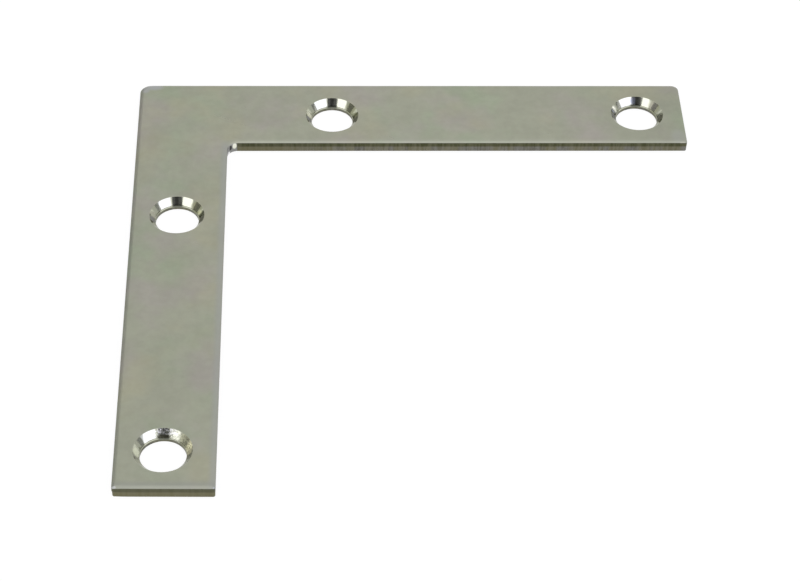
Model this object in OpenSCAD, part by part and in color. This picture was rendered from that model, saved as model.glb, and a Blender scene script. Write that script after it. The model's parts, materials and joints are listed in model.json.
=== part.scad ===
// Flat corner brace: an L punched from sheet steel, with four countersunk screw holes.
//
// The brace lies on its back face. The middle lines of the two arms cross at the origin, one arm
// runs along +X and the other along -Y, and the screws enter from +Z. The holes lie a little off
// the middle of the arms, as they do where a blank is punched in several strokes.

/* [Arms] */
// Length of the arm along X, from the outer corner to its end
arm_x_length = 76.2; // [60:0.1:150]
// Length of the arm along Y, from the outer corner to its end
arm_y_length = 76.2; // [60:0.1:150]
// Width of both arms
arm_width = 12.5; // [10:0.1:20]
// Thickness of the sheet
sheet_thickness = 1.6; // [1.4:0.1:3]

/* [Corners] */
// Radius of the outer corner, where the arms meet
outer_corner_r = 1.6; // [1:0.1:4]
// Radius of the fillet in the inner corner
inner_fillet_r = 1.4; // [0.8:0.1:4]
// Radius of the far corner at the end of the X arm
far_end_corner_r = 1; // [0.5:0.1:3]
// Radius of the other three corners at the ends of the arms
end_corner_r = 0.3; // [0.3:0.1:3]

/* [Punched edge] */
// Width of the rounded band that the punch draws down along the top edge
roll_width = 0.6; // [0.3:0.05:0.9]
// Depth of that band at the edge
roll_depth = 0.14; // [0.05:0.01:0.3]
// Height of the broken zone below the upright land
break_height = 0.9; // [0.4:0.1:1]
// How far the broken zone draws in at the back face
break_inset = 0.03; // [0.02:0.01:0.15]

/* [Screw holes] */
// Diameter of the straight land of each hole
land_d = 5.75; // [4:0.05:6.4]
// Diameter of each countersink at the top face
countersink_d = 7.3; // [6.8:0.1:9]
// Included angle of the countersinks
countersink_angle = 82; // [80:1:100]
// Distance from the outer edge of the Y arm to the inner hole of the X arm
x_arm_inner_hole_distance = 27; // [20:0.05:40]
// Distance from the end of the X arm to its end hole
x_arm_end_hole_inset = 6.35; // [5.5:0.05:10]
// Distance from the outer edge of the X arm to the inner hole of the Y arm
y_arm_inner_hole_distance = 27.35; // [20:0.05:40]
// Distance from the end of the Y arm to its end hole
y_arm_end_hole_inset = 6.2; // [5.5:0.05:10]

/* [Hole offsets from the middle of the arm, towards the inside of the corner] */
// Offset of the inner hole of the X arm
x_arm_inner_hole_offset = 0.3; // [-0.4:0.05:0.4]
// Offset of the end hole of the X arm
x_arm_end_hole_offset = -0.05; // [-0.4:0.05:0.4]
// Offset of the inner hole of the Y arm
y_arm_inner_hole_offset = -0.15; // [-0.4:0.05:0.4]
// Offset of the end hole of the Y arm
y_arm_end_hole_offset = -0.3; // [-0.4:0.05:0.4]

/* [Hidden] */

// Segments of a full circle
$fn = 96;
// How far a cutter reaches past the surface that it cuts
overcut = 0.2;
// How far the cutter of a side runs on into an outside corner, as a share of the corner's radius
run_on_share = 0.4;
// How far the cutter of the inside corner turns on past both ends of its arc, in degrees
turn_on_angle = 7.5;
// Radius of the rolled band, from its width and its depth
roll_r = (roll_width * roll_width + roll_depth * roll_depth) / (2 * roll_depth);
countersink_depth = (countersink_d - land_d) / 2 / tan(countersink_angle / 2);

// The sides of the L: the outer and inner edge and the end of each arm
x_arm_outer = arm_width / 2;
x_arm_inner = -arm_width / 2;
y_arm_outer = -arm_width / 2;
y_arm_inner = arm_width / 2;
x_arm_end = y_arm_outer + arm_x_length;
y_arm_end = x_arm_outer - arm_y_length;

// The outline, walked with the steel on the left: x, y, heading on arrival and radius.
// A negative radius marks the inner corner, where the walk turns right.
corners = [
    [y_arm_inner, x_arm_inner, 90, -inner_fillet_r],
    [x_arm_end, x_arm_inner, 0, end_corner_r],
    [x_arm_end, x_arm_outer, 90, far_end_corner_r],
    [y_arm_outer, x_arm_outer, 180, outer_corner_r],
    [y_arm_outer, y_arm_end, 270, end_corner_r],
    [y_arm_inner, y_arm_end, 0, end_corner_r]
];

hole_centres = [
    [y_arm_outer + x_arm_inner_hole_distance, -x_arm_inner_hole_offset],
    [x_arm_end - x_arm_end_hole_inset, -x_arm_end_hole_offset],
    [y_arm_inner_hole_offset, x_arm_outer - y_arm_inner_hole_distance],
    [y_arm_end_hole_offset, y_arm_end + y_arm_end_hole_inset]
];

function next_corner(i) = corners[(i + 1) % len(corners)];
function corner_size(c) = abs(c[3]);
function side_setback(c) = c[3] > 0 ? c[3] * (1 - run_on_share) : -c[3];
function heading(angle) = [cos(angle), sin(angle)];

// What an outside corner loses: the corner of the steel is at the origin, below and left of it
module corner_waste(r) {
    translate([-r, -r]) difference() {
        square(r + overcut);
        circle(r);
    }
}

// What the inside corner keeps: the corner is at the origin, the steel left of it and above
module inner_fillet(r) {
    difference() {
        translate([-overcut, -r]) square(r + overcut);
        translate([r, -r]) circle(r);
    }
}

module outline() {
    difference() {
        polygon([for (c = corners) [c[0], c[1]]]);
        for (c = corners) if (c[3] > 0)
            translate([c[0], c[1]]) rotate(c[2] - 90) corner_waste(c[3]);
    }
    for (c = corners) if (c[3] < 0)
        translate([c[0], c[1]]) rotate(c[2] - 90) inner_fillet(-c[3]);
}

// What the punch takes from the edge, as a section: x is the distance into the steel, y the height
module edge_section() {
    difference() {
        translate([-overcut, sheet_thickness - roll_r])
            square([overcut + roll_width, roll_r + overcut]);
        translate([roll_width, sheet_thickness - roll_r]) circle(roll_r);
    }
    slope = break_inset / break_height;
    low = -overcut;
    high = break_height + overcut;
    polygon([
        [break_inset - slope * low, low],
        [break_inset - slope * high, high],
        [-2 * overcut, high],
        [-2 * overcut, low]
    ]);
}

// The section carried along one straight side. It runs on into an outside corner, where it only
// reaches what the cutter of the corner takes as well, so no skin stays between the two.
module side_cutter(from, to) {
    turn = to[2];
    start = [from[0], from[1]] + heading(turn) * side_setback(from);
    length = norm([to[0] - from[0], to[1] - from[1]]) - side_setback(from) - side_setback(to);
    translate([start[0], start[1], 0]) rotate([0, 0, turn]) rotate([90, 0, 90])
        linear_extrude(length) edge_section();
}

// The section carried round one corner
module corner_cutter(c) {
    r = corner_size(c);
    outside = c[3] > 0;
    turn_on = outside ? 0 : turn_on_angle;
    turn = (outside ? c[2] - 90 : c[2]) - turn_on;
    side = outside ? c[2] + 90 : c[2] - 90;
    centre = [c[0], c[1]] - heading(c[2]) * r + heading(side) * r;
    translate([centre[0], centre[1], 0]) rotate([0, 0, turn]) rotate_extrude(angle = 90 + 2 * turn_on)
        intersection() {
            translate([r, 0]) mirror([outside ? 1 : 0, 0]) edge_section();
            // No part of the section may cross the axis of the corner
            translate([0, -2 * overcut])
                square([r + roll_width + overcut, sheet_thickness + 4 * overcut]);
        }
}

// Straight land and countersink of one screw hole
module screw_hole() {
    translate([0, 0, -overcut]) cylinder(d = land_d, h = sheet_thickness + 2 * overcut);
    translate([0, 0, sheet_thickness - countersink_depth])
        cylinder(d1 = land_d, d2 = countersink_d, h = countersink_depth);
    translate([0, 0, sheet_thickness]) cylinder(d = countersink_d, h = overcut);
}

module corner_brace() {
    color([0.61, 0.62, 0.56]) difference() {
        linear_extrude(sheet_thickness) outline();
        for (i = [0 : len(corners) - 1]) {
            side_cutter(corners[i], next_corner(i));
            corner_cutter(corners[i]);
        }
        for (p = hole_centres) translate([p[0], p[1], 0]) screw_hole();
    }
}

corner_brace();
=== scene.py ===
# %% [markdown]
# This script dresses a flat corner brace: an L of zinc-plated sheet steel with four countersunk
# screw holes. The CAD model gives its sizes and holds it fixed. Blender adds what a CAD solid
# leaves out: the fine shape of the punched edge and of the turned countersinks, the plating and
# the light of a small product studio. The work goes from the shape to the finish to the light,
# and each step starts with a few words on how the real thing is made.

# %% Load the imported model
import json
import math

import bmesh
import bpy
from mathutils import Matrix, Vector


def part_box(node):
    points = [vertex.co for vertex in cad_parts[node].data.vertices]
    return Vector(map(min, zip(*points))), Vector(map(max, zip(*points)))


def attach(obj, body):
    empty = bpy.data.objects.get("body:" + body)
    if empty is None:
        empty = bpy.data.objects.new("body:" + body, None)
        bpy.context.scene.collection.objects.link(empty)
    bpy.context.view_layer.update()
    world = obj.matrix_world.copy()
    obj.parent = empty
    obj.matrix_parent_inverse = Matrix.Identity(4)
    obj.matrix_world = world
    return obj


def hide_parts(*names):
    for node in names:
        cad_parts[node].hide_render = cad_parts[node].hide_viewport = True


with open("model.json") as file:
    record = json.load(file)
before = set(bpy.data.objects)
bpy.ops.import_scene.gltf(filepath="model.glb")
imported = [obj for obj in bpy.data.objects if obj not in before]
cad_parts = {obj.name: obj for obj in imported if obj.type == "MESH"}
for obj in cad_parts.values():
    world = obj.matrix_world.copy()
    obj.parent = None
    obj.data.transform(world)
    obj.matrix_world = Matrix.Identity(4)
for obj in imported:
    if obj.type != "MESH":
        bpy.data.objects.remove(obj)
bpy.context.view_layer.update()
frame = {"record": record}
low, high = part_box("corner_brace")
mm = 0.001
print("The CAD brace is", [round((b - a) / mm, 2) for a, b in zip(low, high)], "mm")

# %% [markdown]
# A brace like this is blanked from sheet in one stroke, so one set of sizes describes it. The box
# and the holes are read from the CAD model. The radii, the countersink and the profile of the
# punched edge aren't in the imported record, so they stand here once, in millimetres, as the
# maker's drawing would give them.

# %% Sizes of the blank, the punched edge and the holes
arm_width = 12.5 * mm
sheet = high.z - low.z
outer_corner_r = 1.6 * mm
inner_fillet_r = 1.4 * mm
far_end_corner_r = 1.0 * mm
end_corner_r = 0.3 * mm

roll_width = 0.6 * mm
roll_depth = 0.14 * mm
crest_rounding = 0.05 * mm
break_height = 0.9 * mm
break_rounding = 0.1 * mm
break_inset = 0.03 * mm
back_rounding = 0.03 * mm

bores = [mount for mount in frame["record"]["mounts"] if mount["kind"] == "bore"]
hole_places = [Vector((bore["pos_m"][0], bore["pos_m"][1], 0)) for bore in bores]
land_r = bores[0]["dims"]["r_mm"] * mm
countersink_r = 3.65 * mm
countersink_angle = math.radians(82)
rim_rounding = 0.03 * mm
throat_rounding = 0.45 * mm
print(len(bores), "holes with a land of", round(2 * land_r / mm, 2), "mm")

# %% [markdown]
# The next sizes are on no drawing. They were set against the photograph, and without them
# the brace looks drawn and not cut. The ends of the arms are a little out of square, so one corner
# of each stands proud. Below the land, one sharp corner is pulled in. The countersinks reach a
# little deeper than the usual 82 degrees give, perhaps because the tool was worn.

# %% Where the real brace departs from the drawing
x_end_slip = 0.1 * mm
y_end_slip = 0.12 * mm
corner_draw = 0.05 * mm
corner_draw_reach = 0.9 * mm
extra_depth = 0.08 * mm
countersink_depth = (countersink_r - land_r) / math.tan(countersink_angle / 2) + extra_depth
throat_height = sheet - countersink_depth
print("The countersinks are", round(countersink_depth / mm, 3), "mm deep")

# %% [markdown]
# Blender's node trees can hold formulas, but a formula made of one node for each plus and times is
# hard to read in a script. This small class lets the script write a formula in the usual way and
# adds the nodes behind it. The same helpers serve the trees that make the shape and the trees
# that make the finish.

# %% Helpers for node trees
class Number:
    """A number that a node tree works out at each point."""

    def __init__(self, tree, socket):
        self.tree = tree
        self.socket = socket

    def __add__(self, other):
        return calc(self.tree, "ADD", self, other)

    def __sub__(self, other):
        return calc(self.tree, "SUBTRACT", self, other)

    def __rsub__(self, other):
        return calc(self.tree, "SUBTRACT", other, self)

    def __mul__(self, other):
        return calc(self.tree, "MULTIPLY", self, other)

    def __truediv__(self, other):
        return calc(self.tree, "DIVIDE", self, other)

    __radd__ = __add__
    __rmul__ = __mul__


def feed(tree, socket, value):
    """Links a value of the tree to a socket, or writes a plain number, place or colour into it."""
    if isinstance(value, Number):
        tree.links.new(value.socket, socket)
    elif isinstance(value, bpy.types.NodeSocket):
        tree.links.new(value, socket)
    elif socket.type == "RGBA":
        socket.default_value = (*value, 1)
    else:
        socket.default_value = value


def add_node(tree, kind, inputs=None, **settings):
    node = tree.nodes.new(kind)
    for name, value in settings.items():
        setattr(node, name, value)
    for name, value in (inputs or {}).items():
        feed(tree, node.inputs[name], value)
    return node


def calc(tree, operation, *values):
    node = tree.nodes.new("ShaderNodeMath")
    node.operation = operation
    for place, value in enumerate(values):
        feed(tree, node.inputs[place], value)
    return Number(tree, node.outputs[0])


def whole_part(value):
    """The whole number at or below a value, safe against a value that falls just short of it."""
    return calc(value.tree, "FLOOR", value + 0.001)


def larger(a, b):
    return calc(a.tree, "MAXIMUM", a, b)


def smaller(a, b):
    return calc(a.tree, "MINIMUM", a, b)


def vector(tree, x, y, z):
    return add_node(tree, "ShaderNodeCombineXYZ", {"X": x, "Y": y, "Z": z}).outputs[0]


def parts_of(tree, socket):
    node = add_node(tree, "ShaderNodeSeparateXYZ", {"Vector": socket})
    return [Number(tree, s) for s in node.outputs]


def new_tree(kind, name, inputs, outputs):
    """A node group, the numbers that come into it and the node that ends it."""
    tree = bpy.data.node_groups.new(name, kind)
    for title, (sort, value) in inputs.items():
        socket = tree.interface.new_socket(title, in_out="INPUT", socket_type="NodeSocket" + sort)
        if value is not None:
            socket.default_value = value
    for title, sort in outputs.items():
        tree.interface.new_socket(title, in_out="OUTPUT", socket_type="NodeSocket" + sort)
    start = tree.nodes.new("NodeGroupInput")
    given = {s.name: Number(tree, s) for s in start.outputs if s.name}
    return tree, given, tree.nodes.new("NodeGroupOutput")


def use_group(tree, group, inputs):
    """Stands a node group in a tree as one node, and gives what it puts out first."""
    kind = tree.bl_idname.replace("Tree", "Group")
    return add_node(tree, kind, inputs, node_tree=group).outputs[0]


def noise(tree, place, scale, detail=2.0, roughness=0.5, offset=0.0):
    """Noise from 0 to 1 in space. The offset is its fourth coordinate and serves as a seed."""
    node = add_node(tree, "ShaderNodeTexNoise", {
        "Vector": place, "W": offset, "Scale": scale, "Detail": detail, "Roughness": roughness,
    }, noise_dimensions="4D")
    return Number(tree, node.outputs[0])


def points_object(name, places, shares=None):
    """A mesh of loose points, each with named numbers, which a tree reads as its table."""
    mesh = bpy.data.meshes.new(name)
    mesh.from_pydata([tuple(p) for p in places], [], [])
    for title, values in (shares or {}).items():
        mesh.attributes.new(title, "FLOAT", "POINT").data.foreach_set("value", values)
    thing = bpy.data.objects.new(name, mesh)
    bpy.context.scene.collection.objects.link(thing)
    return thing


# %% [markdown]
# A section is the line that a cut across the metal would show. The punched edge and the screw
# hole each have one: a few straight stretches and an arc or two. Every corner of real metal has
# some radius, and it is that tiny radius that catches the light, so each corner is rounded here
# in several steps. A guard point on the flat beside each arc keeps the smooth shading of the arc
# from spreading over the flat.

# %% Helpers for sections
def rounded(corners, steps=6, guard=0.02 * mm):
    """The points of a section whose corners are given as (x, y, radius)."""
    points = [Vector(corners[0][:2])]
    for before, here, after in zip(corners, corners[1:], corners[2:]):
        corner = Vector(here[:2])
        radius = here[2]
        if radius == 0:
            points.append(corner)
            continue
        back = (Vector(before[:2]) - corner).normalized()
        ahead = (Vector(after[:2]) - corner).normalized()
        half = back.angle(ahead) / 2
        reach = radius / math.tan(half)
        centre = corner + (back + ahead).normalized() * radius / math.sin(half)
        first = corner + back * reach - centre
        last = corner + ahead * reach - centre
        points.append(centre + first + back * guard)
        for step in range(steps + 1):
            t = step / steps
            points.append(centre + first.lerp(last, t).normalized() * radius)
        points.append(centre + last + ahead * guard)
    points.append(Vector(corners[-1][:2]))
    return points


def divided(points, longest):
    """The same line, with no stretch longer than the given length."""
    finer = [points[0]]
    for a, b in zip(points, points[1:]):
        pieces = max(1, math.ceil((b - a).length / longest))
        finer += [a.lerp(b, k / pieces) for k in range(1, pieces + 1)]
    return finer


# %% [markdown]
# When a punch goes through sheet, the top edge first rolls down with it, then the metal shears
# and leaves an upright, burnished land, and at last it breaks away in a rough zone that draws in
# towards the back. The section below follows these three stages: inset into the steel across,
# height above the back face upwards. Its shares say where the edge may wander and where the
# rough grain of the break belongs.

# %% Section of the punched edge
roll_r = (roll_width ** 2 + roll_depth ** 2) / (2 * roll_depth)
roll_turn = math.asin(roll_width / roll_r)
roll_steps = 12
roll_guard = 0.03 * mm
flat_margin = 0.35 * mm
longest_edge_step = 0.14 * mm


def roll_point(turn):
    return (roll_width - roll_r * math.sin(turn), sheet - roll_r + roll_r * math.cos(turn), 0)


edge_corners = [
    (roll_width + flat_margin, sheet, 0),
    (roll_width + roll_guard, sheet, 0),
    *[roll_point(roll_turn * k / roll_steps) for k in range(roll_steps)],
    (0, sheet - roll_depth, crest_rounding),
    (0, break_height, break_rounding),
    (break_inset, 0, back_rounding),
    (break_inset + flat_margin, 0, 0),
]
edge_line = divided(rounded(edge_corners), longest_edge_step)
print("The edge section has", len(edge_line), "points")

# %% Where the edge wanders, where it is broken and where it is upright
crest_height = sheet - roll_depth
break_fade = 0.12 * mm
back_fade = 0.2 * mm
back_tolerance = 0.02 * mm


def wander_share(point):
    """How far a point of the section follows the wandering of the crest: fully on the crest."""
    if point.y > crest_height:
        return max(0, 1 - point.x / roll_width)
    return max(0, (point.y - break_height) / (crest_height - break_height))


def broken_share(point):
    """Where the broken zone is: 0 on the land, 1 in the zone, fading out on the back face."""
    into = (break_height - point.y) / break_fade
    out = 1 - (point.x - break_inset - back_tolerance) / back_fade
    return max(0, min(1, into, out))


def upright_share(point):
    """1 on the sheared face, between the crest and the back edge."""
    return float(point.x < break_inset + back_tolerance and point.y < crest_height)


edge_section = points_object("edge section", [p.to_3d() for p in edge_line], {
    "wander": [wander_share(p) for p in edge_line],
    "broken": [broken_share(p) for p in edge_line],
    "upright": [upright_share(p) for p in edge_line],
})
print(sum(broken_share(p) == 1 for p in edge_line), "of its points lie in the broken zone")

# %% [markdown]
# The outline of the blank has six corners: five turn left and the inside one turns right. Each
# corner carries its radius, its side and the heading on arrival, and one formula places every
# point of the rim from them. On an outside corner that is smaller than the roll, the formula lets
# the two rolls meet in a mitre, as they do on the real blank. A sweep along a curve would fold
# over itself there, which is why the tree works with a grid of points and a formula instead.

# %% Corners of the blank
inner_x = low.x + arm_width
inner_y = high.y - arm_width
blank_corners = [
    # x and y, heading on arrival, side of the turn, radius, draw
    ((inner_x, inner_y), 90, -1, inner_fillet_r, 0),
    ((high.x + x_end_slip, inner_y), 0, 1, end_corner_r, 0),
    ((high.x, high.y), 90, 1, far_end_corner_r, 0),
    ((low.x, high.y), 180, 1, outer_corner_r, 0),
    ((low.x, low.y), 270, 1, end_corner_r, corner_draw),
    ((inner_x, low.y - y_end_slip), 0, 1, end_corner_r, 0),
]
places, headings, sides, radii, draws = zip(*blank_corners)
brace = points_object("brace", [Vector((x, y, 0)) for x, y in places], {
    "heading": [math.radians(heading) for heading in headings],
    "side": [float(side) for side in sides],
    "radius": list(radii),
    "draw": list(draws),
})
print("The blank has", len(blank_corners), "corners")

# %% Helpers for the trees that make the shape
def named_number(tree, name):
    return add_node(tree, "GeometryNodeInputNamedAttribute", {"Name": name}).outputs[0]


def look_up(tree, table, name, index):
    """A named number of a table's point."""
    found = add_node(tree, "GeometryNodeSampleIndex", {
        "Geometry": table, "Value": named_number(tree, name), "Index": index})
    return Number(tree, found.outputs[0])


def look_up_place(tree, table, index):
    """x and y of a table's point."""
    place = tree.nodes.new("GeometryNodeInputPosition")
    found = add_node(tree, "GeometryNodeSampleIndex", {
        "Geometry": table, "Value": place.outputs[0], "Index": index}, data_type="FLOAT_VECTOR")
    return parts_of(tree, found.outputs[0])[:2]


def table_of(tree, thing):
    return add_node(tree, "GeometryNodeObjectInfo", {"Object": thing}).outputs["Geometry"]


def own_index(tree):
    return Number(tree, tree.nodes.new("GeometryNodeInputIndex").outputs[0])


def grid_place(tree, ring_length):
    """Ring and step of each point of a grid whose rings have this many points."""
    index = own_index(tree)
    ring = whole_part(index / ring_length)
    return ring, index - ring * ring_length


def keep_number(tree, mesh, name, value):
    node = add_node(tree, "GeometryNodeStoreNamedAttribute", {
        "Geometry": mesh, "Name": name, "Value": value})
    return node.outputs[0]


def is_above(tree, value, limit):
    node = add_node(tree, "FunctionNodeCompare", {"A": value, "B": limit}, operation="GREATER_THAN")
    return node.outputs[0]


def paint(tree, mesh, material, where=None):
    node = add_node(tree, "GeometryNodeSetMaterial", {"Geometry": mesh, "Material": material})
    if where is not None:
        feed(tree, node.inputs["Selection"], where)
    return node.outputs[0]


def welded(tree, mesh):
    """The mesh with its double points made one."""
    weld_distance = 0.0002 * mm
    node = add_node(tree, "GeometryNodeMergeByDistance", {
        "Geometry": mesh, "Distance": weld_distance})
    return node.outputs[0]


# %% Tree of the punched rim
rim_tree, given, ending = new_tree("GeometryNodeTree", "punched rim", {
    "Corners": ("Geometry", None),
    "Section": ("Object", None),
    "Rings": ("Int", 40),
    "Corner Count": ("Int", 6),
    "Arc Steps": ("Int", 16),
    "Side Steps": ("Int", 120),
    "Wander": ("Float", 0),
    "Wander Scale": ("Float", 300),
    "Grain": ("Float", 0),
    "Grain Scale": ("Float", 3000),
    "Draw Reach": ("Float", 0.001),
    "Seed": ("Int", 0),
    "Plate": ("Material", None),
    "Sheared": ("Material", None),
}, {"Mesh": "Geometry"})

corner_steps = given["Arc Steps"] + given["Side Steps"]
loop_points = corner_steps * given["Corner Count"] + 1
rim_grid = add_node(rim_tree, "GeometryNodeMeshGrid", {
    "Vertices X": given["Rings"], "Vertices Y": loop_points})
ring, step = grid_place(rim_tree, loop_points)
corner = whole_part(step / corner_steps)
corner_step = step - corner * corner_steps
turned = smaller(corner_step / given["Arc Steps"], 1)
along = larger((corner_step - given["Arc Steps"]) / given["Side Steps"], 0)

section_table = table_of(rim_tree, given["Section"])
inset, height = look_up_place(rim_tree, section_table, ring)
wander = look_up(rim_tree, section_table, "wander", ring)
broken = look_up(rim_tree, section_table, "broken", ring)
upright = look_up(rim_tree, section_table, "upright", ring)


def corner_point(corner, turned):
    """x and y of a point on the arc of a corner, and what else the rim needs to know of it."""
    corner = corner - whole_part(corner / given["Corner Count"]) * given["Corner Count"]
    table = given["Corners"]
    x, y = look_up_place(rim_tree, table, corner)
    radius = look_up(rim_tree, table, "radius", corner)
    side = look_up(rim_tree, table, "side", corner)
    draw = look_up(rim_tree, table, "draw", corner)
    first = look_up(rim_tree, table, "heading", corner) - math.pi / 2
    last = first + side * (math.pi / 2)
    here = first + side * turned * (math.pi / 2)
    reach = larger(radius, side * inset)
    point = []
    facing = []
    towards_corner = []
    for place, wave in ((x, "COSINE"), (y, "SINE")):
        a, b, c = [calc(rim_tree, wave, angle) for angle in (first, last, here)]
        point.append(place - side * reach * (a + b - c) - inset * c)
        facing.append(c)
        towards_corner.append((a + b) * math.sqrt(0.5))
    return point, facing, towards_corner, draw


arc, facing, outward_here, draw_here = corner_point(corner, turned)
next_arc, _, outward_next, draw_next = corner_point(corner + 1, 0)
span_x = next_arc[0] - arc[0]
span_y = next_arc[1] - arc[1]
span = calc(rim_tree, "SQRT", span_x * span_x + span_y * span_y)


def near(distance):
    """1 at a corner, falling to 0 away from it."""
    ratio = distance / given["Draw Reach"]
    return calc(rim_tree, "EXPONENT", ratio * ratio * -1)


rim_x = arc[0] + span_x * along
rim_y = arc[1] + span_y * along
rim_spot = vector(rim_tree, rim_x, rim_y, height)
wander_seed = given["Seed"] + 7
grain = noise(rim_tree, rim_spot, given["Grain Scale"], 3, offset=given["Seed"])
wandering = noise(rim_tree, rim_spot, given["Wander Scale"], offset=wander_seed)
cut = broken * given["Grain"] * grain
drawn_here = broken * draw_here * near(span * along)
drawn_next = broken * draw_next * near(span * (1 - along))
rim_x = rim_x - facing[0] * cut - outward_here[0] * drawn_here - outward_next[0] * drawn_next
rim_y = rim_y - facing[1] * cut - outward_here[1] * drawn_here - outward_next[1] * drawn_next
rim_z = height + wander * given["Wander"] * (wandering - 0.5)
rim_place = vector(rim_tree, rim_x, rim_y, rim_z)

rim = keep_number(rim_tree, rim_grid.outputs[0], "broken", broken)
rim = keep_number(rim_tree, rim, "upright", upright)
rim = add_node(rim_tree, "GeometryNodeSetPosition", {"Geometry": rim, "Position": rim_place})
rim = paint(rim_tree, rim.outputs[0], given["Plate"])
upright_limit = 0.6
is_upright = is_above(rim_tree, named_number(rim_tree, "upright"), upright_limit)
rim = paint(rim_tree, rim, given["Sheared"], is_upright)
feed(rim_tree, ending.inputs["Mesh"], rim)
print("The rim tree has", len(rim_tree.nodes), "nodes")

# %% [markdown]
# The four screw holes are alike: pierced through, then countersunk from the face, which leaves a
# bright turned cone above a short land. One hole is lathed from its section, and instances of it
# go to the four mounts of the record, so every hole has exactly the CAD model's place. The turned
# cone isn't perfect: the tool chatters, so its surface carries faint waves round the axis.

# %% Section of a countersunk hole
hole_margin = 0.4 * mm
longest_hole_step = 0.1 * mm
hole_corners = [
    (countersink_r + hole_margin, sheet, 0),
    (countersink_r, sheet, rim_rounding),
    (land_r, throat_height, throat_rounding),
    (land_r, 0, back_rounding),
    (land_r + hole_margin, 0, 0),
]
hole_line = divided(rounded(hole_corners), longest_hole_step)
rim_tolerance = 0.05 * mm
cone_reach = 0.22 * mm
cone_fade = 0.16 * mm
exit_height = 0.4 * mm


def cone_share(point):
    """1 on the turned cone, fading to 0 over the rounding below it."""
    if point.x > countersink_r + rim_tolerance:
        return 0.0
    return max(0, min(1, (point.y - throat_height + cone_reach) / cone_fade))


def exit_share(point):
    """Where the punch broke out: 0 at the top of the land, 1 at the back edge."""
    into = 1.2 - point.y / exit_height
    out = 1 - (point.x - land_r - back_rounding) / back_fade
    return max(0, min(1, into, out))


hole_section = points_object("hole section", [p.to_3d() for p in hole_line], {
    "cone": [cone_share(p) for p in hole_line],
    "exit": [exit_share(p) for p in hole_line],
})
hole_points = points_object("hole places", hole_places)
print("The hole section has", len(hole_line), "points")

# %% Tree of the countersunk holes

hole_tree, given, ending = new_tree("GeometryNodeTree", "countersunk holes", {
    "Places": ("Object", None),
    "Section": ("Object", None),
    "Rings": ("Int", 30),
    "Turn Steps": ("Int", 128),
    "Chatter": ("Float", 0),
    "Chatter Waves": ("Float", 8),
    "Exit Grain": ("Float", 0),
    "Grain Scale": ("Float", 3000),
    "Seed": ("Int", 0),
    "Plate": ("Material", None),
    "Turned": ("Material", None),
    "Sheared": ("Material", None),
}, {"Mesh": "Geometry"})

circle_points = given["Turn Steps"] + 1
hole_grid = add_node(hole_tree, "GeometryNodeMeshGrid", {
    "Vertices X": given["Rings"], "Vertices Y": circle_points})
ring, step = grid_place(hole_tree, circle_points)
angle = step / given["Turn Steps"] * (-2 * math.pi)
across = calc(hole_tree, "COSINE", angle)
forward = calc(hole_tree, "SINE", angle)
section_table = table_of(hole_tree, given["Section"])
radius, height = look_up_place(hole_tree, section_table, ring)
cone = look_up(hole_tree, section_table, "cone", ring)
leaving = look_up(hole_tree, section_table, "exit", ring)
waves_up = 400
wave_count = given["Chatter Waves"]
waves = vector(hole_tree, across * wave_count, forward * wave_count, height * waves_up)
chatter = noise(hole_tree, waves, 1, offset=given["Seed"]) - 0.5
hole_spot = vector(hole_tree, across * radius, forward * radius, height)
grain = noise(hole_tree, hole_spot, given["Grain Scale"], 3, offset=given["Seed"])
lathed = radius + cone * given["Chatter"] * chatter + leaving * given["Exit Grain"] * grain
hole = keep_number(hole_tree, hole_grid.outputs[0], "upright", 1 - cone)
hole = keep_number(hole_tree, hole, "cone", cone)
hole = keep_number(hole_tree, hole, "pierced", 1.0)
hole = keep_number(hole_tree, hole, "broken", leaving)
hole = add_node(hole_tree, "GeometryNodeSetPosition", {
    "Geometry": hole,
    "Position": vector(hole_tree, across * lathed, forward * lathed, height)})
hole = welded(hole_tree, hole.outputs[0])

# The holes weren't turned in step, so each one starts its marks at another angle
turn_between_holes = 2.4
turn_of_hole = own_index(hole_tree) * turn_between_holes
holes = add_node(hole_tree, "GeometryNodeInstanceOnPoints", {
    "Points": table_of(hole_tree, given["Places"]), "Instance": hole,
    "Rotation": vector(hole_tree, 0, 0, turn_of_hole)})
holes = add_node(hole_tree, "GeometryNodeRealizeInstances", {"Geometry": holes.outputs[0]})
holes = paint(hole_tree, holes.outputs[0], given["Sheared"])
cone_limit = 0.02
is_cone = is_above(hole_tree, named_number(hole_tree, "cone"), cone_limit)
holes = paint(hole_tree, holes, given["Turned"], is_cone)
hole_normal = hole_tree.nodes.new("GeometryNodeInputNormal").outputs[0]
steepness = calc(hole_tree, "ABSOLUTE", parts_of(hole_tree, hole_normal)[2])
flat_limit = 0.99
holes = paint(hole_tree, holes, given["Plate"], is_above(hole_tree, steepness, flat_limit))
feed(hole_tree, ending.inputs["Mesh"], holes)
print("The hole tree has", len(hole_tree.nodes), "nodes")

# %% [markdown]
# What is left are the two flat faces. Their borders are the open ends of the rim and of the
# holes, so the tree takes those open edges as curves and fills them: Fill Curve leaves a hole
# inside each inner loop by itself. Then every double point is merged, and the brace is one closed
# skin, like the one piece of steel that it stands for.

# %% Tree that closes the brace
brace_tree, given, ending = new_tree("GeometryNodeTree", "closed brace", {
    "Corners": ("Geometry", None),
    "Edge Section": ("Object", None),
    "Edge Rings": ("Int", 40),
    "Arc Steps": ("Int", 16),
    "Side Steps": ("Int", 120),
    "Edge Wander": ("Float", 0),
    "Edge Grain": ("Float", 0),
    "Hole Places": ("Object", None),
    "Hole Section": ("Object", None),
    "Hole Rings": ("Int", 30),
    "Turn Steps": ("Int", 128),
    "Chatter": ("Float", 0),
    "Exit Grain": ("Float", 0),
    "Thickness": ("Float", 0.0016),
    "Seed": ("Int", 0),
    "Plate": ("Material", None),
    "Sheared": ("Material", None),
    "Turned": ("Material", None),
}, {"Mesh": "Geometry"})

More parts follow.
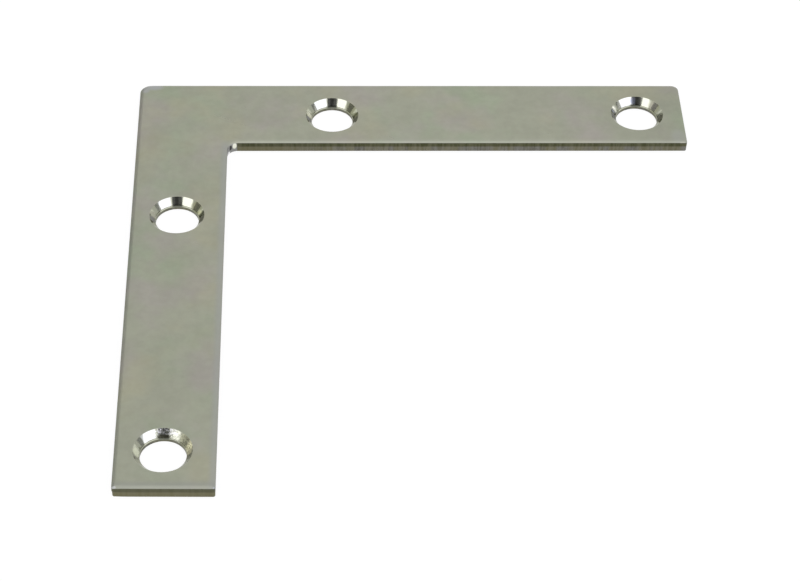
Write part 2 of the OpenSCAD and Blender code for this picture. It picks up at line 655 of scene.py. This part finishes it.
rim = use_group(brace_tree, rim_tree, {
    "Corners": given["Corners"], "Section": given["Edge Section"],
    "Rings": given["Edge Rings"], "Arc Steps": given["Arc Steps"],
    "Side Steps": given["Side Steps"], "Wander": given["Edge Wander"],
    "Grain": given["Edge Grain"], "Draw Reach": corner_draw_reach, "Seed": given["Seed"],
    "Plate": given["Plate"], "Sheared": given["Sheared"]})
holes = use_group(brace_tree, hole_tree, {
    "Places": given["Hole Places"], "Section": given["Hole Section"],
    "Rings": given["Hole Rings"], "Turn Steps": given["Turn Steps"],
    "Chatter": given["Chatter"], "Exit Grain": given["Exit Grain"],
    "Seed": given["Seed"] + 3, "Plate": given["Plate"],
    "Turned": given["Turned"], "Sheared": given["Sheared"]})


def joined(tree, meshes):
    join = tree.nodes.new("GeometryNodeJoinGeometry")
    for mesh in meshes:
        tree.links.new(mesh, join.inputs[0])
    return welded(tree, join.outputs[0])


skin = joined(brace_tree, [rim, holes])


def filled(level, face_up):
    """The flat face at a height, filled between the open edges that lie there."""
    level_tolerance = 0.1 * mm
    face_count = brace_tree.nodes.new("GeometryNodeInputMeshEdgeNeighbors")
    place = brace_tree.nodes.new("GeometryNodeInputPosition")
    away = calc(brace_tree, "ABSOLUTE", parts_of(brace_tree, place.outputs[0])[2] - level)
    here = calc(brace_tree, "LESS_THAN", away, level_tolerance)
    # An open edge has one face, every other edge has two
    is_open = calc(brace_tree, "LESS_THAN", Number(brace_tree, face_count.outputs[0]), 1.5)
    loops = add_node(brace_tree, "GeometryNodeMeshToCurve", {
        "Mesh": skin, "Selection": here * is_open})
    face = add_node(brace_tree, "GeometryNodeFillCurve", {"Curve": loops.outputs[0]})
    face = add_node(brace_tree, "GeometryNodeSetPosition", {
        "Geometry": face.outputs[0], "Offset": vector(brace_tree, 0, 0, level)})
    if not face_up:
        face = add_node(brace_tree, "GeometryNodeFlipFaces", {"Mesh": face.outputs[0]})
    return paint(brace_tree, face.outputs[0], given["Plate"])


top_face = filled(given["Thickness"], True)
back_face = filled(given["Thickness"] * 0, False)
closed = joined(brace_tree, [skin, top_face, back_face])
closed = add_node(brace_tree, "GeometryNodeSetShadeSmooth", {"Geometry": closed})
closed = add_node(brace_tree, "GeometryNodeRealizeInstances", {"Geometry": closed.outputs[0]})
feed(brace_tree, ending.inputs["Mesh"], closed.outputs[0])
print("The tree that closes the brace has", len(brace_tree.nodes), "nodes")

# %% [markdown]
# The modifier runs the tree on the six corner points. Its result is taken over as a plain mesh and
# the modifier is removed, because what follows needs a mesh and no longer a rule. The tables of
# the two sections have done their work and go as well.

# %% Make the mesh of the brace
def set_input(modifier, title, value):
    """Writes a modifier's input by its socket's identifier."""
    for item in modifier.node_group.interface.items_tree:
        if item.item_type == "SOCKET" and item.in_out == "INPUT" and item.name == title:
            modifier[item.identifier] = value


plate = bpy.data.materials.new("zinc plate")
sheared = bpy.data.materials.new("sheared edge")
turned_cone = bpy.data.materials.new("turned countersink")
maker = brace.modifiers.new("closed brace", "NODES")
maker.node_group = brace_tree
brace_inputs = {
    "Edge Section": edge_section, "Edge Rings": len(edge_line), "Arc Steps": 16,
    "Side Steps": 120, "Edge Wander": 0.03 * mm, "Edge Grain": 0.02 * mm,
    "Hole Places": hole_points, "Hole Section": hole_section,
    "Hole Rings": len(hole_line), "Turn Steps": 144, "Chatter": 0.004 * mm,
    "Exit Grain": 0.02 * mm, "Thickness": sheet, "Seed": 5, "Plate": plate,
    "Sheared": sheared, "Turned": turned_cone,
}
for title, value in brace_inputs.items():
    set_input(maker, title, value)
bpy.context.view_layer.update()
evaluated = brace.evaluated_get(bpy.context.evaluated_depsgraph_get())
skin_mesh = bpy.data.meshes.new_from_object(evaluated)
brace.modifiers.clear()
brace.data = skin_mesh


def put_in_order(mesh, materials):
    """Gives a mesh the listed materials in that order and drops empty slots."""
    numbers = [0] * len(mesh.polygons)
    mesh.polygons.foreach_get("material_index", numbers)
    places = {k: materials.index(m) for k, m in enumerate(mesh.materials) if m in materials}
    mesh.materials.clear()
    for material in materials:
        mesh.materials.append(material)
    mesh.polygons.foreach_set("material_index", [places[k] for k in numbers])


put_in_order(skin_mesh, [plate, sheared, turned_cone])
for helper in (edge_section, hole_section, hole_points):
    bpy.data.objects.remove(helper)
print("The brace has", len(skin_mesh.vertices), "points,", len(skin_mesh.polygons), "faces and",
      [m.name for m in skin_mesh.materials])

# %% Check that the skin is closed
check = bmesh.new()
check.from_mesh(skin_mesh)
print("open edges:", sum(len(e.link_faces) != 2 for e in check.edges),
      "volume:", round(check.calc_volume(signed=True) * 1e9, 1), "mm3",
      "loose points:", sum(not v.link_faces for v in check.verts),
      "triangles:", sum(len(f.verts) - 2 for f in check.faces))
check.free()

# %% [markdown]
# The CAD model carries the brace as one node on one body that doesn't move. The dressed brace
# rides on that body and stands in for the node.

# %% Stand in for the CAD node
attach(brace, "root")
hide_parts("corner_brace")
print("The dressed brace stands in for the node of the CAD model")

# %% [markdown]
# The finish is a thin coat of zinc on smooth steel. Its colour is a warm grey with a little green
# in it, and the passivation leaves faint patches of green, rose and straw. Groups of shader nodes
# hold what more than one surface shows: the patches, the fine grain and the scratches. Each takes
# a place on the object, so that nothing slides when the camera moves.

# %% Helpers for the finish
def object_place(tree):
    return tree.nodes.new("ShaderNodeTexCoord").outputs["Object"]


def attribute(tree, name):
    """A number that the shape left on the mesh, such as where the steel is broken."""
    return Number(tree, add_node(tree, "ShaderNodeAttribute", attribute_name=name).outputs["Fac"])


def stretched(tree, place, scale):
    return add_node(tree, "ShaderNodeMapping", {"Vector": place, "Scale": scale}).outputs[0]


def stepped(value, start, end, low_value=0.0, high_value=1.0):
    """Maps a stretch of a number onto another one, softly at both ends and never past them."""
    node = add_node(value.tree, "ShaderNodeMapRange", {
        "Value": value, "From Min": start, "From Max": end,
        "To Min": low_value, "To Max": high_value}, interpolation_type="SMOOTHSTEP")
    return Number(value.tree, node.outputs[0])


def mixed(tree, share, first, second):
    """A colour between two colours. Sockets 6 and 7 are the ones that take colours."""
    node = add_node(tree, "ShaderNodeMix", {0: share, 6: first, 7: second}, data_type="RGBA")
    return node.outputs[2]


def scaled(tree, colour, factor):
    """A colour made brighter or darker by a factor."""
    node = add_node(tree, "ShaderNodeVectorMath", {0: colour, "Scale": factor}, operation="SCALE")
    return node.outputs[0]


def start_material(material, metallic, roughness):
    """A clean node tree with one shader, whose plain numbers sit in its own sockets."""
    material.use_nodes = True
    tree = material.node_tree
    tree.nodes.clear()
    shader = add_node(tree, "ShaderNodeBsdfPrincipled", {
        "Metallic": metallic, "Roughness": roughness})
    output = tree.nodes.new("ShaderNodeOutputMaterial")
    tree.links.new(shader.outputs[0], output.inputs[0])
    return tree, shader


def bumped(tree, shader, height, depth):
    bump = add_node(tree, "ShaderNodeBump", {"Height": height, "Distance": depth, "Strength": 1.0})
    feed(tree, shader.inputs["Normal"], bump.outputs[0])


# %% [markdown]
# Painted highlights, glints and dark reflections on the corners and in the fillet, and dull
# patches with painted colour in the holes, all are small places of another colour. One group makes
# the mask for them: it measures how far a point is from the middle of the place, as a share of
# its reach along x, y and z, and fades from 1 inside to 0 outside.

# %% Group of the soft spot
spot_group, given, ending = new_tree("ShaderNodeTree", "soft spot", {
    "Place": ("Vector", None),
    "Centre": ("Vector", (0, 0, 0)),
    "Reach": ("Vector", (0.001, 0.001, 0.001)),
    "Softness": ("Float", 0.5),
}, {"Mask": "Float"})
away = add_node(spot_group, "ShaderNodeVectorMath", {
    0: given["Place"], 1: given["Centre"]}, operation="SUBTRACT")
share_of_reach = add_node(spot_group, "ShaderNodeVectorMath", {
    0: away.outputs[0], 1: given["Reach"]}, operation="DIVIDE")
length = add_node(spot_group, "ShaderNodeVectorMath", {
    0: share_of_reach.outputs[0]}, operation="LENGTH")
distance = Number(spot_group, length.outputs["Value"])
half_fade = given["Softness"] * 0.5
feed(spot_group, ending.inputs["Mask"], stepped(distance, 1 + half_fade, 1 - half_fade))


def spot(tree, place, centre, reach, softness):
    """A mask that is 1 round a place on the brace, with centre and reach in millimetres."""
    mask = use_group(tree, spot_group, {
        "Place": place, "Centre": Vector(centre) * mm, "Reach": Vector(reach) * mm,
        "Softness": softness})
    return Number(tree, mask)


def dabbed(tree, place, colour, dabs):
    """The colour with small dabs on it, given by centre, reach, softness, share and colour."""
    for centre, reach, softness, share, dab in dabs:
        colour = mixed(tree, spot(tree, place, centre, reach, softness) * share, colour, dab)
    return colour


# %% Groups of the patches, the scratches and the grain
patch_group, given, ending = new_tree("ShaderNodeTree", "passivation patches", {
    "Place": ("Vector", None),
    "Size": ("Float", 120),
    "Amount": ("Float", 1),
    "Colour": ("Color", (0.328, 0.338, 0.268, 1)),
}, {"Colour": "Color"})
patch_colours = [
    ((0.312, 0.350, 0.258), 0.0, 1.0),
    ((0.350, 0.328, 0.300), 4.3, 0.8),
    ((0.352, 0.348, 0.258), 9.1, 0.8),
]
colour = given["Colour"]
for patch_colour, offset, strength in patch_colours:
    cloud = noise(patch_group, given["Place"], given["Size"], 3, 0.55, offset)
    share = stepped(cloud, 0.46, 0.72) * strength * given["Amount"]
    colour = mixed(patch_group, share, colour, patch_colour)
mottle = noise(patch_group, given["Place"], given["Size"] * 7, 3, 0.6, 12.2)
grey_cloud = noise(patch_group, given["Place"], given["Size"] * 2, 2, 0.5, 15.8)
shade = stepped(mottle, 0.3, 0.7, 0.965, 1.03) * stepped(grey_cloud, 0.3, 0.7, 0.97, 1.03)
feed(patch_group, ending.inputs["Colour"], scaled(patch_group, colour, shade))

scratch_group, given, ending = new_tree("ShaderNodeTree", "fine scratches", {
    "Place": ("Vector", None),
    "Turn": ("Float", 0),
    "Closeness": ("Float", 1),
}, {"Mask": "Float"})
turned_place = add_node(scratch_group, "ShaderNodeVectorRotate", {
    "Vector": given["Place"], "Angle": given["Turn"]}, rotation_type="Z_AXIS")
long_place = stretched(scratch_group, turned_place.outputs[0], (60, 3000, 400))
lines = noise(scratch_group, long_place, 1, 2, 0.5, 2.7)
gaps = noise(scratch_group, given["Place"], 300, 2, 0.5, 5.5)
mask = stepped(lines, 0.66, 0.74) * stepped(gaps, 0.5, 0.62) * given["Closeness"]
feed(scratch_group, ending.inputs["Mask"], mask)

grain_group, given, ending = new_tree("ShaderNodeTree", "metal grain", {
    "Place": ("Vector", None),
    "Fine": ("Float", 9000),
    "Coarse": ("Float", 1400),
}, {"Height": "Float"})
fine = noise(grain_group, given["Place"], given["Fine"], 2, 0.6, 1.1)
coarse = noise(grain_group, given["Place"], given["Coarse"], 3, 0.6, 3.3)
feed(grain_group, ending.inputs["Height"], fine * 0.5 + coarse * 0.5)
print("Groups of the finish:", [group.name for group in (patch_group, scratch_group, grain_group)])

# %% [markdown]
# The plating is metal all through, so Metallic is 1 and the base colour tints what it reflects. It
# could be one flat grey, but the plate in the photograph is a little lighter or darker along each
# side and towards the ends, and its rolled edge glints at the corners. That light and shade is
# painted into the colour: margins are measured from the sides of the blank, each with its own
# painted lighter or darker tone, and painted glints and bluish reflections lie on the corners. The
# scratches are too fine to be shapes, so they are in the gloss and the bump.

# %% Zinc plate on the two faces and the rolled edge
tree, shader = start_material(plate, 1.0, 0.3)
place = object_place(tree)
place_x, place_y = parts_of(tree, place)[:2]
patches = use_group(tree, patch_group, {"Place": place})
scratch_mask = Number(tree, use_group(tree, scratch_group, {"Place": place, "Turn": 0.5}))
grain_height = Number(tree, use_group(tree, grain_group, {"Place": place}))

inner_margin = stepped(place_x, inner_x - 1.2 * mm, inner_x - 0.3 * mm)
inner_margin = inner_margin * stepped(place_y, inner_y + 1 * mm, inner_y - 1 * mm)
near_margin = stepped(place_y, inner_y + 1 * mm, inner_y + 0.3 * mm)
near_margin = near_margin * stepped(place_x, inner_x + 0.5 * mm, inner_x + 1.5 * mm)
far_margin = stepped(place_y, high.y - 1.2 * mm, high.y - 0.4 * mm)
left_margin = stepped(place_x, low.x + 1.2 * mm, low.x + 0.4 * mm)
x_arm_end = stepped(place_x, high.x - 16 * mm, high.x - 3 * mm)
y_arm_end = stepped(place_y, low.y + 1.4 * mm, low.y + 0.5 * mm)

# Painted reflection: a bluish grey along the inner side of the Y arm, and a greyer tint at the end of
# the Y arm
colour = mixed(tree, inner_margin * 0.65, patches, (0.318, 0.328, 0.312))
colour = mixed(tree, y_arm_end * 0.5, colour, (0.312, 0.322, 0.295))
# Painted light and shade: each margin and arm end is made lighter or darker by its share
plain_tone = 1.014
painted_margin_shading = [
    (near_margin, 0.06),
    (far_margin, -0.03),
    (left_margin, -0.01),
    (x_arm_end, -0.075),
    (y_arm_end, -0.035),
]
painted_margin_factor = sum(margin * change for margin, change in painted_margin_shading) + plain_tone
colour = scaled(tree, colour, painted_margin_factor)

# %% Painted bluish reflections and glints on the corners, and gloss of the plate
painted_corner_glints = [
    # Centre and reach in millimetres, softness, share, colour
    ((69.0, -5.0, 1.6), (1.0, 1.5, 1), 1, 0.4, (0.36, 0.37, 0.352)),
    ((-4.3, 5.75, 1.6), (1.1, 0.6, 1), 1, 0.8, (0.38, 0.385, 0.395)),
    ((-5.5, 5.1, 1.6), (0.5, 0.6, 1), 1, 0.8, (0.37, 0.375, 0.37)),
    ((-5.95, -69.78, 1.5), (0.28, 0.2, 0.3), 0.5, 1, (0.43, 0.44, 0.43)),
    ((6.12, -69.95, 1.5), (0.16, 0.2, 0.3), 0.5, 1, (0.37, 0.385, 0.4)),
    ((69.4, -6.18, 1.48), (0.34, 0.13, 0.3), 0.5, 1, (0.4, 0.4, 0.35)),
]
feed(tree, shader.inputs["Base Color"], dabbed(tree, place, colour, painted_corner_glints))
wear = noise(tree, place, 90, 3, 0.6, 6.2)
feed(tree, shader.inputs["Roughness"], stepped(wear, 0.3, 0.7, 0.29, 0.34) - scratch_mask * 0.05)
plate_bump = 0.006 * mm
bumped(tree, shader, grain_height - scratch_mask * 0.6, plate_bump)
print("The plate's finish has", len(tree.nodes), "nodes")

# %% [markdown]
# The sheared edge is darker than the faces. It has two zones, which the shape has marked on the
# mesh: the land, rubbed smooth by the punch, with fine upright streaks, and the broken zone,
# paler and rough, with olive bands. At the end of the Y arm and near the inner corner the olive
# is more even. The land inside the holes is brighter than the one outside.

# %% Sheared edge
tree, shader = start_material(sheared, 1.0, 0.45)
place = object_place(tree)
place_x, place_y = parts_of(tree, place)[:2]
broken = attribute(tree, "broken")
pierced = attribute(tree, "pierced")
streak_place = stretched(tree, place, (1, 1, 0.12))
streaks = noise(tree, streak_place, 2600, 3, 0.6, 0.4)
bands = noise(tree, streak_place, 700, 2, 0.5, 7.4)
grain_height = Number(tree, use_group(tree, grain_group, {
    "Place": place, "Fine": 12000.0, "Coarse": 4000.0}))
y_arm_end = stepped(place_y, low.y + 3 * mm, low.y + 1 * mm)
near_corner = stepped(place_x, 24 * mm, 12 * mm)
near_corner = near_corner * stepped(place_y, inner_y - 1.5 * mm, inner_y - 0.5 * mm)

land_share = stepped(streaks, 0.35, 0.65) * (1 - y_arm_end * 0.7) + y_arm_end * 0.75
punched_land = mixed(tree, land_share, (0.063, 0.065, 0.031), (0.111, 0.11, 0.067))
pierced_land = mixed(tree, land_share, (0.145, 0.15, 0.11), (0.215, 0.22, 0.17))
land_colour = mixed(tree, pierced, punched_land, pierced_land)
break_share = stepped(grain_height * 0.4 + streaks * 0.6, 0.4, 0.58)
broken_colour = mixed(tree, break_share, (0.134, 0.13, 0.102), (0.22, 0.214, 0.19))
olive = stepped(bands, 0.4, 0.6) * 0.5 * (1 - y_arm_end - near_corner)
olive = olive + y_arm_end * 0.75 + near_corner * 0.7
broken_colour = mixed(tree, olive, broken_colour, (0.198, 0.186, 0.094))
colour = mixed(tree, broken, land_colour, broken_colour)
colour = scaled(tree, colour, 1 - near_corner * 0.1)

# %% Painted reflections in the inner fillet: grey wall, highlight, dark spot and light patch
in_fillet = stepped(place_x, inner_x + 1.38 * mm, inner_x + 1.25 * mm)
in_fillet = in_fillet * stepped(place_y, inner_y - 1.42 * mm, inner_y - 1.36 * mm)
in_fillet = in_fillet * stepped(place_x, inner_x - 0.6 * mm, inner_x - 0.4 * mm)
in_fillet = in_fillet * stepped(place_y, inner_y + 0.6 * mm, inner_y + 0.4 * mm)
in_fillet = in_fillet * (1 - pierced)
# Painted reflection: the fillet wall is painted grey, with a painted highlight, a dark spot and a light
# patch on it
colour = mixed(tree, in_fillet, colour, (0.3, 0.3, 0.285))
painted_fillet_reflections = [
    ((7.23, -6.32, 1.02), (0.28, 0.28, 0.5), 0.5, 1, (0.84, 0.85, 0.73)),
    ((6.69, -6.63, 0.92), (0.22, 0.22, 0.42), 0.5, 1, (0.045, 0.045, 0.042)),
    ((6.45, -6.95, 0.05), (0.32, 0.32, 0.4), 0.5, 1, (0.8, 0.8, 0.78)),
]
feed(tree, shader.inputs["Base Color"], dabbed(tree, place, colour, painted_fillet_reflections))
feed(tree, shader.inputs["Roughness"], broken * 0.2 + 0.4)
edge_bump = 0.02 * mm
bumped(tree, shader, streaks * (1 - broken) * 0.6 + grain_height * broken, edge_bump)
print("The sheared edge's finish has", len(tree.nodes), "nodes")

# %% [markdown]
# The turned cones are smooth enough to mirror the studio: two bright panels on the far side of
# each hole, with a dark gap between them. The lamps alone make the four holes look alike, so a part
# of the contrast is painted reflection in the colour of the metal: a painted brighter far side, a
# painted darker gap and a short table of painted light and dark patches, some of them duller,
# placed from the middle of each hole in millimetres. It stays on the metal when the camera moves.

# %% Turned countersinks
tree, shader = start_material(turned_cone, 1.0, 0.1)
place = object_place(tree)
place_x, place_y = parts_of(tree, place)[:2]
grain_height = Number(tree, use_group(tree, grain_group, {"Place": place}))
cone = attribute(tree, "cone")
x_inner, x_end, y_inner, y_end = range(4)
every = (x_inner, x_end, y_inner, y_end)
patch_softness = 0.7


def hole_spot(tree, place, hole, offset, reach, softness=patch_softness):
    """A mask round a place in a hole, given from the hole's middle in millimetres."""
    return spot(tree, place, hole_places[hole] / mm + Vector(offset), reach, softness)


# Painted reflection: a brighter far side and a darker gap in it, which is a little off the middle in
# some holes
colour = mixed(tree, cone, (0.17, 0.175, 0.12), (0.33, 0.34, 0.27))
gap_offsets = (0.0, 0.2, -0.12, 0.0)
for hole, gap_offset in zip(every, gap_offsets):
    far_side = hole_spot(tree, place, hole, (-0.25, 3, 1.15), (2.33, 3, 3), 0.1)
    between = hole_spot(tree, place, hole, (gap_offset, 3.2, 1.15), (0.64, 2, 3), 0.25)
    colour = mixed(tree, far_side * (1 - between) * cone, colour, (0.67, 0.68, 0.56))
    colour = mixed(tree, between * far_side, colour, (0.23, 0.235, 0.195))

# %% Painted reflections on the flanks and painted dull patches of the cones
# Holes, offset from the middle and reach in millimetres, share, colour
painted_flank_reflections = [
    (every, (2.65, 1.9, 1.2), (0.9, 0.9, 0.9), 0.7, (0.26, 0.265, 0.16)),
    (every, (0.0, 3.0, 0.62), (0.8, 0.5, 0.2), 0.8, (0.1, 0.105, 0.085)),
    ((x_inner,), (3.25, 0.35, 1.25), (0.35, 0.45, 0.5), 0.8, (0.5, 0.5, 0.35)),
    ((y_inner,), (2.95, 0.96, 1.0), (0.42, 0.5, 0.38), 0.8, (0.58, 0.58, 0.42)),
    ((y_inner,), (2.3, 2.28, 1.2), (0.42, 0.42, 0.6), 0.8, (0.3, 0.3, 0.2)),
    ((x_end,), (2.5, 2.1, 1.2), (0.7, 0.7, 0.7), 0.9, (0.45, 0.44, 0.36)),
    ((x_end,), (-3.07, 1.12, 1.2), (0.45, 0.7, 0.6), 1.0, (0.7, 0.7, 0.62)),
    ((y_end,), (3.1, 0.84, 1.2), (0.6, 0.9, 0.7), 1.0, (0.88, 0.85, 0.6)),
    ((x_end,), (-0.22, 3.2, 1.2), (0.36, 0.5, 0.5), 0.9, (0.3, 0.32, 0.38)),
    ((y_end,), (2.6, 1.95, 1.2), (0.7, 0.8, 0.7), 0.8, (0.42, 0.42, 0.3)),
]
# Holes, offset and reach in millimetres, colour
painted_dull_patches = [
    ((x_inner,), (-3.19, 0.5, 1.15), (0.45, 0.5, 0.7), (0.72, 0.72, 0.58)),
    ((y_inner,), (-3.19, 0.5, 1.15), (0.45, 0.5, 0.7), (0.5, 0.5, 0.4)),
    ((x_inner, y_inner), (-3.24, -0.4, 1.15), (0.5, 0.5, 0.8), (0.29, 0.29, 0.27)),
    ((x_end,), (-3.24, -0.1, 1.15), (0.5, 0.55, 0.8), (0.25, 0.25, 0.23)),
    ((y_end,), (-3.2, -0.75, 1.3), (0.4, 0.4, 0.5), (0.36, 0.36, 0.3)),
    ((y_end,), (-3.24, 0.1, 1.15), (0.5, 0.75, 0.8), (0.74, 0.76, 0.6)),
    ((x_inner, x_end, y_inner), (3.22, -0.45, 1.15), (0.5, 0.6, 0.8), (0.17, 0.17, 0.13)),
    ((y_end,), (3.2, -0.55, 1.1), (0.5, 0.5, 0.8), (0.27, 0.27, 0.21)),
    ((y_end,), (3.22, 0.15, 1.15), (0.45, 0.4, 0.7), (0.58, 0.56, 0.4)),
]
roughness = 0.1
roughness_of_dull = 0.55
for holes, offset, reach, share, painted_flank_colour in painted_flank_reflections:
    for hole in holes:
        mask = hole_spot(tree, place, hole, offset, reach)
        colour = mixed(tree, mask * share, colour, painted_flank_colour)
for holes, offset, reach, painted_dull_colour in painted_dull_patches:
    for hole in holes:
        mask = hole_spot(tree, place, hole, offset, reach)
        colour = mixed(tree, mask, colour, painted_dull_colour)
        roughness = mask * roughness_of_dull + roughness
feed(tree, shader.inputs["Roughness"], roughness)
shader.inputs["Specular Tint"].default_value = (0.65, 0.65, 0.6, 1)

# %% [markdown]
# The hole at the end of the Y arm came out rough: its right half is pitted, painted white speckles
# stand for glints in the gap between the panels with a painted dark line below them, and the cone
# leans a little to the left. The lean is too slight to be seen as shape, but it moves what the cone
# reflects, so it is a slope in the bump.

# %% Rough hole at the end of the Y arm
in_end_hole = stepped(place_y, -50 * mm, -55 * mm)
rough_half = in_end_hole * stepped(place_x, -1.5 * mm, -0.8 * mm, 0.1, 1)
pit_shade = 0.36
pits = noise(tree, place, 5200, 2, 0.6, 8.8)
colour = scaled(tree, colour, 1 - rough_half * stepped(pits, 0.45, 0.62) * pit_shade)
# Painted glints: white speckles in the gap, and a painted dark line lower in it
painted_glint_mask = hole_spot(tree, place, y_end, (0.35, 3.2, 1.35), (1.3, 0.6, 0.36), 0.6)
speckles = noise(tree, place, 3600, 2, 0.6, 3.1)
colour = mixed(tree, painted_glint_mask * stepped(speckles, 0.48, 0.56), colour, (0.9, 0.9, 0.88))
painted_dark_line = hole_spot(tree, place, y_end, (-0.05, 2.9, 0.78), (0.78, 0.6, 0.2), 0.6)
colour = mixed(tree, painted_dark_line, colour, (0.1, 0.1, 0.07))
feed(tree, shader.inputs["Base Color"], colour)

cone_bump = 0.05 * mm
lean = 0.063
lean_reach = 1.9 * mm
to_the_left = smaller((place_x - hole_places[y_end].x) * -1, lean_reach)
tilt = to_the_left * in_end_hole * (lean / cone_bump)
bumped(tree, shader, grain_height * 0.05 + pits * rough_half + tilt, cone_bump)
print("The cones' finish has", len(tree.nodes), "nodes")

# %% [markdown]
# The photograph is a product shot on white. Two large soft boxes stand to the left and right of
# the camera, and between them, behind the camera, the room is dark: the countersinks show all
# three, as two bright panels with a dark gap. A weaker box hangs overhead, low strips light the
# far sides, and a few walls of the white room are greyer. All of them stand at the directions
# that the reflections give. Walls are cards that only the metal sees.

# %% Helpers for the studio
scene = bpy.context.scene
middle = Vector((0.03, -0.03, 0))
lamp_distance = 1.0
wall_distance = 1.1
stand_distance = 1.05


def direction(azimuth, elevation):
    """A direction seen from the brace: azimuth 0 is towards the camera, positive to the right."""
    a = math.radians(azimuth)
    e = math.radians(elevation)
    return Vector((math.sin(a) * math.cos(e), -math.cos(a) * math.cos(e), math.sin(e)))


def facing_brace(towards):
    return towards.to_track_quat("Z", "Y").to_matrix().to_4x4()


def panel_size(distance, width, height):
    """The size of a panel that spans these angles at this distance."""
    return [2 * distance * math.tan(math.radians(angle) / 2) for angle in (width, height)]


def soft_box(name, azimuth, elevation, width, height, radiance, colour=(1, 1, 1)):
    """A lamp that adds this much brightness to the white of the room, where 1 is white."""
    sides = panel_size(lamp_distance, width, height)
    data = bpy.data.lights.new(name, "AREA")
    data.shape = "RECTANGLE"
    data.size = sides[0]
    data.size_y = sides[1]
    # A lamp's brightness is its power over four times its area
    data.energy = radiance * 4 * sides[0] * sides[1]
    data.color = colour
    lamp = bpy.data.objects.new(name, data)
    towards = direction(azimuth, elevation)
    lamp.matrix_world = Matrix.Translation(middle + towards * lamp_distance) @ facing_brace(towards)
    lamp.visible_camera = False
    scene.collection.objects.link(lamp)
    print(name, [round(side, 2) for side in sides], "m", round(data.energy, 2), "W")


def square_mesh(name, place, width, height):
    """A mesh of one face, square to the z axis of its place."""
    corners = [(-0.5, -0.5), (0.5, -0.5), (0.5, 0.5), (-0.5, 0.5)]
    points = [place @ Vector((x * width, y * height, 0)) for x, y in corners]
    mesh = bpy.data.meshes.new(name)
    mesh.from_pydata(points, [], [(0, 1, 2, 3)])
    return mesh


def dark_card(name, azimuth, elevation, width, height, shade, distance=wall_distance):
    """A card that keeps the white of the room off the metal."""
    sides = panel_size(distance, width, height)
    towards = direction(azimuth, elevation)
    place = Matrix.Translation(middle + towards * distance) @ facing_brace(towards)
    mesh = square_mesh(name, place, *sides)
    card = bpy.data.objects.new(name, mesh)
    scene.collection.objects.link(card)
    material = bpy.data.materials.new(name)
    card_tree, card_shader = start_material(material, 0.0, 1.0)
    feed(card_tree, card_shader.inputs["Base Color"], (shade, shade, shade))
    mesh.materials.append(material)
    card.visible_camera = False
    card.visible_shadow = False


# %% Soft boxes and cards
# Azimuth, elevation, width and height in degrees, then brightness or shade
soft_box("right soft box", 56, 26, 47, 48, 0.5, colour=(1, 1, 1.6))
soft_box("left soft box", -48, 26, 35, 48, 0.5, colour=(1, 1, 1.1))
soft_box("overhead soft box", 0, 88, 50, 50, 0.25)
soft_box("low strip on the right", 122, 4, 20, 9, 0.5)
dark_card("dark room behind the camera", -3, 30, 39, 60, 0.45)
dark_card("camera stand", 0, 36, 13, 48, 0.17, stand_distance)
soft_box("low strip on the left", -122, 5, 16, 10, 0.4)
dark_card("grey wall on the left", -93, 18, 22, 24, 0.5)
dark_card("grey wall on the right", 90, 19, 16, 18, 0.7)
dark_card("far wall on the left", -143, 27, 40, 34, 0.8)

# %% [markdown]
# The room is white where the camera and the metal see it, and a softer grey as a lamp, so that
# the plate keeps its tone. The table is white paper. What the camera sees of it is mostly plain
# white, with a faint shadow of the brace. Light Path tells the two kinds of looking apart.

# %% White room
def seen_share(tree):
    """1 for what the camera or a reflection sees, 0 for light that falls on something."""
    path = tree.nodes.new("ShaderNodeLightPath")
    kinds = ("Is Camera Ray", "Is Glossy Ray", "Is Transmission Ray")
    rays = [Number(tree, path.outputs[kind]) for kind in kinds]
    return smaller(rays[0] + rays[1] + rays[2], 1)


world = bpy.data.worlds.new("white room")
scene.world = world
world.use_nodes = True
tree = world.node_tree
tree.nodes.clear()
room_light = 0.7
background = add_node(tree, "ShaderNodeBackground", {
    "Color": (1, 1, 1), "Strength": seen_share(tree) * (1 - room_light) + room_light})
output = tree.nodes.new("ShaderNodeOutputWorld")
tree.links.new(background.outputs[0], output.inputs[0])
print("As a lamp, the room is", room_light, "of white")

# %% White table
table_side = 4.0
table_drop = 0.02 * mm
paper_glow = 1.08
glow_share = 0.85
table_mesh = square_mesh("white table", Matrix.Translation((0, 0, -table_drop)), table_side, table_side)
table = bpy.data.objects.new("white table", table_mesh)
scene.collection.objects.link(table)
paper = bpy.data.materials.new("white paper")
table_mesh.materials.append(paper)
paper.use_nodes = True
tree = paper.node_tree
tree.nodes.clear()
diffuse = add_node(tree, "ShaderNodeBsdfDiffuse", {"Color": (0.9, 0.9, 0.9)})
glow = add_node(tree, "ShaderNodeEmission", {"Color": (1, 1, 1), "Strength": paper_glow})
mix = tree.nodes.new("ShaderNodeMixShader")
feed(tree, mix.inputs[0], seen_share(tree) * glow_share)
tree.links.new(diffuse.outputs[0], mix.inputs[1])
tree.links.new(glow.outputs[0], mix.inputs[2])
output = tree.nodes.new("ShaderNodeOutputMaterial")
tree.links.new(mix.outputs[0], output.inputs[0])
print("The table is", table_side, "m wide")

# %% [markdown]
# The camera stands where a fit to the straight edges and the holes of the photograph puts it: in
# front of the brace and above it, with a long lens, and rolled a little about its own axis.

# %% Camera
camera_data = bpy.data.cameras.new("camera")
camera_data.sensor_width = 36
camera_data.lens = 114.855
camera_data.clip_start = 0.01
camera = bpy.data.objects.new("camera", camera_data)
scene.collection.objects.link(camera)
camera_place = Vector((18.16, -275.08, 231.32)) * mm
camera_heading = math.radians(-2.673)
camera_tilt = math.radians(90 - 43.806)
camera_roll = math.radians(1.7196)
camera.matrix_world = (Matrix.Translation(camera_place) @ Matrix.Rotation(camera_heading, 4, "Z")
                       @ Matrix.Rotation(camera_tilt, 4, "X") @ Matrix.Rotation(camera_roll, 4, "Z"))
scene.camera = camera
scene.view_settings.view_transform = "Standard"
print("The camera stands at", [round(v / mm) for v in camera_place], "mm")
